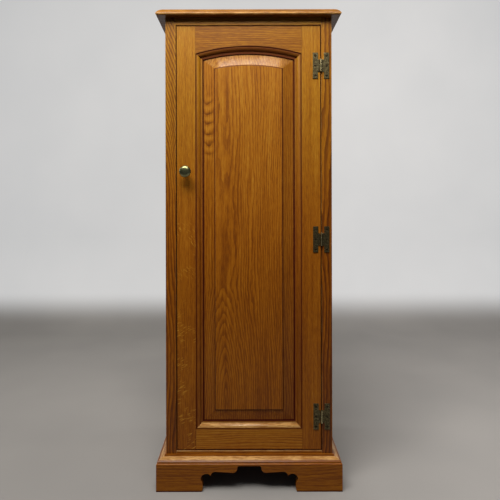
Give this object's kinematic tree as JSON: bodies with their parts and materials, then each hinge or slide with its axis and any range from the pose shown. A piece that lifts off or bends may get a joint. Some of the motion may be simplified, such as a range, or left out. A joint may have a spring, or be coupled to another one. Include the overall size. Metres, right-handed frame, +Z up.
{
  "type": "cupboard",
  "caption": "Tall narrow oak cupboard with an arched raised-panel door on H hinges, moulded top and scroll-cut moulded plinth, shelves inside.",
  "frame": {"origin": "on the floor, in the middle of the box round the whole cupboard, knob included", "axes": "+X to the right as seen from the front, +Y to the back, +Z up; the door faces -Y"},
  "size_m": [0.46, 0.3684, 1.197],
  "materials": {
    "oak": "golden oak, satin varnish",
    "oak_veneered_panel": "oak-faced thin board, matt",
    "antique_brass": "antique brass, dark patina",
    "zinc_plated_steel": "zinc plated",
    "brown_plastic": "moulded, matt",
    "ferrite_and_steel": "ferrite magnet between ground steel plates"
  },
  "bodies": {
    "cabinet": {"back_panel": "oak_veneered_panel", "back_panel_screws": "zinc_plated_steel", "back_top_batten": "oak", "bottom_board": "oak", "bottom_front_rail": "oak", "catch_housing": "brown_plastic", "catch_magnet": "ferrite_and_steel", "catch_screws": "zinc_plated_steel", "frame_hinge_screws": "antique_brass", "front_top_batten": "oak", "left_front_stile": "oak", "left_side_board": "oak", "lower_frame_leaf": "antique_brass", "lower_hinge_pin": "antique_brass", "lower_shelf": "oak", "middle_frame_leaf": "antique_brass", "middle_hinge_pin": "antique_brass", "middle_shelf": "oak", "plinth_back_rail": "oak", "plinth_corner_blocks": "oak", "plinth_front_board": "oak", "plinth_left_board": "oak", "plinth_right_board": "oak", "plinth_screws": "zinc_plated_steel", "right_front_stile": "oak", "right_side_board": "oak", "shelf_studs": "antique_brass", "top_board": "oak", "top_front_rail": "oak", "top_screws": "zinc_plated_steel", "upper_frame_leaf": "antique_brass", "upper_hinge_pin": "antique_brass", "upper_shelf": "oak"},
    "door": {"door_bottom_rail": "oak", "door_hinge_screws": "antique_brass", "door_panel": "oak", "door_top_rail": "oak", "hinge_stile": "oak", "knob": "antique_brass", "knob_screw": "zinc_plated_steel", "lock_stile": "oak", "lower_door_leaf": "antique_brass", "middle_door_leaf": "antique_brass", "strike_plate": "zinc_plated_steel", "strike_screws": "zinc_plated_steel", "upper_door_leaf": "antique_brass"}
  },
  "joints": [
    {"name": "door_swing", "type": "hinge", "parent": "cabinet", "child": "door", "pos_m": [0.1815, -0.15745, 0.62], "axis": [0, 0, 1], "range_deg": [0, 175]}
  ]
}
